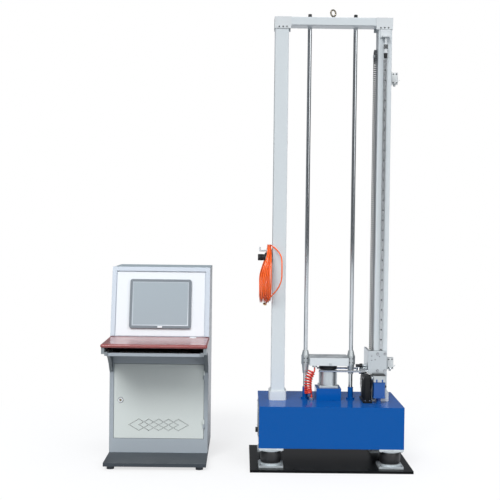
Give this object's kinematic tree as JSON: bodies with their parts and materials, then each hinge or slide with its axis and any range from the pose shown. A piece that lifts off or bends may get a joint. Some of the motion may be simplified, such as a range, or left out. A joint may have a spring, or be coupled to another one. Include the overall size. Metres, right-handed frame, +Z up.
{
  "type": "mechanical shock tester",
  "caption": "Drop-table shock tester: chain-lifted table on guide rods over a seismic base on air isolators, with a separate control console.",
  "frame": {"origin": "centre of the underside of the tower's floor plate", "axes": "+Z up along the guide rods, +X to the operator's right, -Y towards the operator"},
  "size_m": [1.81, 0.955, 2.743],
  "materials": {
    "black_steel": "satin black paint",
    "galvanised": "zinc plated",
    "black_rubber": "matt rubber",
    "blue_gloss": "gloss blue paint",
    "panel_grey": "grey paint",
    "black_plastic": "moulded black plastic",
    "frame_grey": "light grey powder coat",
    "foot_white": "white-grey powder coat",
    "chrome_rod": "ground and chromed",
    "machined_steel": "machined",
    "table_aluminium": "milled and blasted",
    "bush_plastic": "bearing plastic",
    "lift_steel": "plated plate",
    "bolt_steel": "bright",
    "chain_steel": "oiled black",
    "black_casting": "black painted casting",
    "motor_blue": "blue enamel",
    "switch_zinc": "die cast",
    "orange_hose": "polyurethane hose",
    "brass_fitting": "turned brass",
    "red_hose": "coiled hose",
    "plinth_slate": "dark slate paint",
    "console_dark": "dark grey powder coat",
    "console_grey": "grey powder coat",
    "door_white": "pale grey powder coat",
    "desk_red": "red-brown laminate",
    "frame_blue_grey": "pale blue-grey powder coat",
    "bezel_grey": "grey moulded bezel",
    "button_white": "moulded"
  },
  "bodies": {
    "root": {"floor_plate": "black_steel", "isolator_plates": "galvanised", "isolator_bellows": "black_rubber", "seismic_base": "blue_gloss", "side_panel": "panel_grey", "posts": "frame_grey", "post_feet": "foot_white", "top_beam": "frame_grey", "corner_caps": "foot_white", "lifting_eye": "galvanised", "guide_rods": "chrome_rod", "rod_bolts": "black_steel", "rod_flanges": "blue_gloss", "anvil_pedestal": "blue_gloss", "anvil_cylinder": "machined_steel", "programmer_pad": "black_rubber", "linear_rail": "machined_steel", "rail_screws": "black_steel", "lift_chain": "chain_steel", "idler_bracket": "lift_steel", "gearbox": "black_casting", "lift_motor": "motor_blue", "motor_head": "lift_steel", "top_stop": "foot_white", "top_bumper": "black_rubber", "limit_switches": "switch_zinc", "air_regulator": "black_plastic", "air_hose_coil": "orange_hose", "air_hose_lead": "orange_hose", "hose_coupler": "brass_fitting", "hose_socket": "machined_steel", "coil_hose": "red_hose", "console_plinth": "plinth_slate", "console_sides": "console_dark", "console_back": "console_dark", "console_decks": "console_dark", "console_front": "console_grey", "desk_top": "desk_red", "upper_frame": "frame_blue_grey", "monitor": "bezel_grey", "pc_case": "black_plastic"},
    "table": {"shock_table": "table_aluminium", "guide_hubs": "table_aluminium", "hub_linings": "bush_plastic", "table_ports": "machined_steel"},
    "lift": {"rail_blocks": "machined_steel", "lift_plate": "lift_steel", "lift_side_plate": "lift_steel", "lift_bolts": "bolt_steel", "lift_fork": "chrome_rod", "arm_bumper": "black_rubber"},
    "drive_sprocket": {"drive_sprocket": "machined_steel"},
    "idler_sprocket": {"idler_sprocket": "machined_steel"},
    "side_knob": {"side_knob": "black_plastic"},
    "regulator_knob": {"regulator_knob": "black_plastic"},
    "console_door": {"console_door": "door_white"},
    "door_lock": {"door_lock": "bolt_steel"},
    "keyboard_tray": {"keyboard_tray": "console_grey", "keyboard": "black_plastic"},
    "power_button": {"power_button": "button_white"}
  },
  "joints": [
    {"name": "table_slide", "type": "slide", "parent": "root", "child": "table", "axis": [0, 0, 1], "range_m": [0, 1.7], "deforming": ["coil_hose"]},
    {"name": "lift_slide", "type": "slide", "parent": "root", "child": "lift", "axis": [0, 0, 1], "range_m": [0, 1.7], "deforming": ["lift_chain"]},
    {"name": "drive_sprocket_spin", "type": "hinge", "parent": "root", "child": "drive_sprocket", "pos_m": [0.258, 0, 0.48], "axis": [1, 0, 0], "range_deg": [-2700, 0]},
    {"name": "idler_sprocket_spin", "type": "hinge", "parent": "root", "child": "idler_sprocket", "pos_m": [0.258, 0, 2.4612], "axis": [1, 0, 0], "range_deg": [-2700, 0]},
    {"name": "side_knob_turn", "type": "hinge", "parent": "root", "child": "side_knob", "pos_m": [-0.425, -0.08, 0.2], "axis": [-1, 0, 0], "range_deg": [0, 270]},
    {"name": "regulator_knob_turn", "type": "hinge", "parent": "root", "child": "regulator_knob", "pos_m": [-0.396, 0, 1.237], "axis": [-1, 0, 0], "continuous": true},
    {"name": "door_swing", "type": "hinge", "parent": "root", "child": "console_door", "pos_m": [-0.7565, -0.029, 0.344], "axis": [0, 0, 1], "range_deg": [0, 90]},
    {"name": "door_lock_turn", "type": "hinge", "parent": "console_door", "child": "door_lock", "pos_m": [-1.2625, -0.024, 0.361], "axis": [0, -1, 0], "range_deg": [0, 90]},
    {"name": "keyboard_tray_slide", "type": "slide", "parent": "root", "child": "keyboard_tray", "axis": [0, -1, 0], "range_m": [0, 0.28]},
    {"name": "power_button_push", "type": "slide", "parent": "root", "child": "power_button", "axis": [0, 0.9724, -0.2334], "range_m": [0, 0.0015], "stiffness_N_per_m": 400}
  ],
  "couplings": [
    {"joint": "lift_slide", "follows": "table_slide", "ratio": 1},
    {"joint": "drive_sprocket_spin", "follows": "table_slide", "rad_per_m": -27.346},
    {"joint": "idler_sprocket_spin", "follows": "table_slide", "rad_per_m": -27.346}
  ]
}
